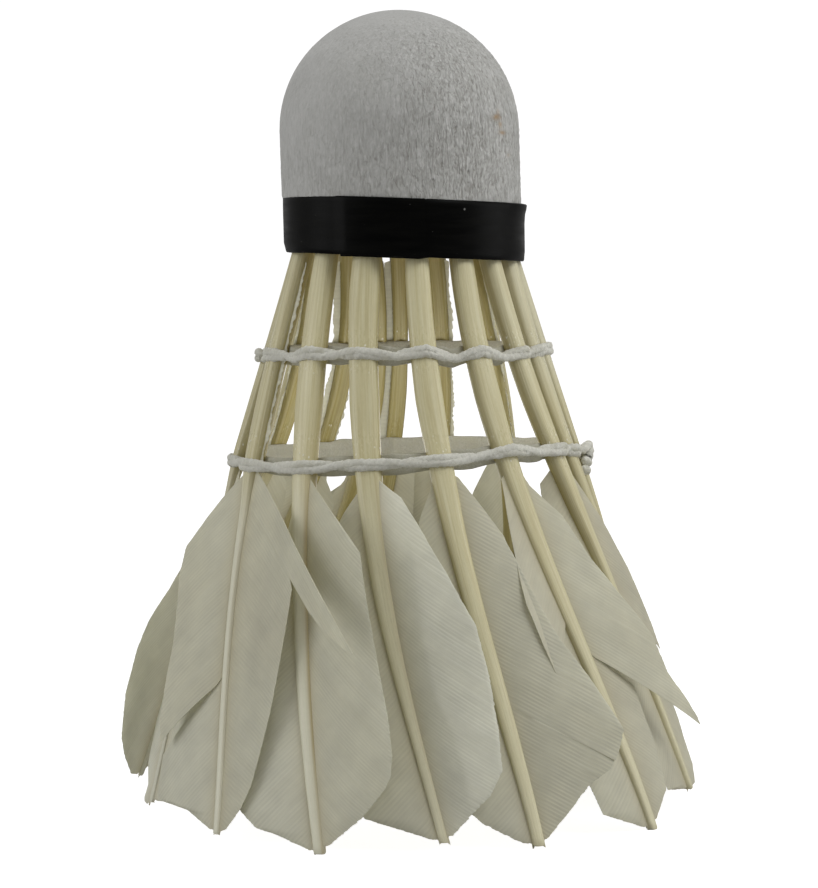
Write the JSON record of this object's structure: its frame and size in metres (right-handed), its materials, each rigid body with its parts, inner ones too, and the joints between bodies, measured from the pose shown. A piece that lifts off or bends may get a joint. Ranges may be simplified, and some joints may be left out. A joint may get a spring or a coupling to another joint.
{
  "type": "badminton shuttlecock",
  "caption": "Feather shuttlecock: leather-covered round cork with a dark tape band, holding a flared skirt of overlapping feathers sewn by two rows of thread.",
  "frame": {"origin": "on the axis of the cork, in the plane of the lowest feather tips", "axes": "+Z along the cork axis from the feather tips to the nose; -Y is the side where the free end of the tape lies"},
  "size_m": [0.0645, 0.0667, 0.0872],
  "materials": {
    "cork": "natural cork",
    "leather": "white kid leather, fine creased grain, slightly soiled",
    "tape": "glossy black adhesive tape",
    "glue": "clear yellowish dried glue",
    "thread": "glue-soaked cotton thread",
    "quill": "ivory keratin, satin, faint lengthwise ridges",
    "vane": "off-white feather vane, fine slanting barbs"
  },
  "bodies": {
    "root": {"cork_nose": "cork", "cork_base": "cork", "leather_cover": "leather", "edge_tape": "tape", "root_glue": "glue", "upper_thread_outer": "thread", "upper_thread_inner": "thread", "upper_thread_knot": "thread", "lower_thread_outer": "thread", "lower_thread_inner": "thread", "lower_thread_knot": "thread", "feather_01_shaft": "quill", "feather_02_shaft": "quill", "feather_03_shaft": "quill", "feather_04_shaft": "quill", "feather_05_shaft": "quill", "feather_06_shaft": "quill", "feather_07_shaft": "quill", "feather_08_shaft": "quill", "feather_09_shaft": "quill", "feather_10_shaft": "quill", "feather_11_shaft": "quill", "feather_12_shaft": "quill", "feather_13_shaft": "quill", "feather_14_shaft": "quill", "feather_15_shaft": "quill", "feather_16_shaft": "quill", "feather_01_vane": "vane", "feather_02_vane": "vane", "feather_03_vane": "vane", "feather_04_vane": "vane", "feather_05_vane": "vane", "feather_06_vane": "vane", "feather_07_vane": "vane", "feather_08_vane": "vane", "feather_09_vane": "vane", "feather_10_vane": "vane", "feather_11_vane": "vane", "feather_12_vane": "vane", "feather_13_vane": "vane", "feather_14_vane": "vane", "feather_15_vane": "vane", "feather_16_vane": "vane"}
  },
  "joints": []
}
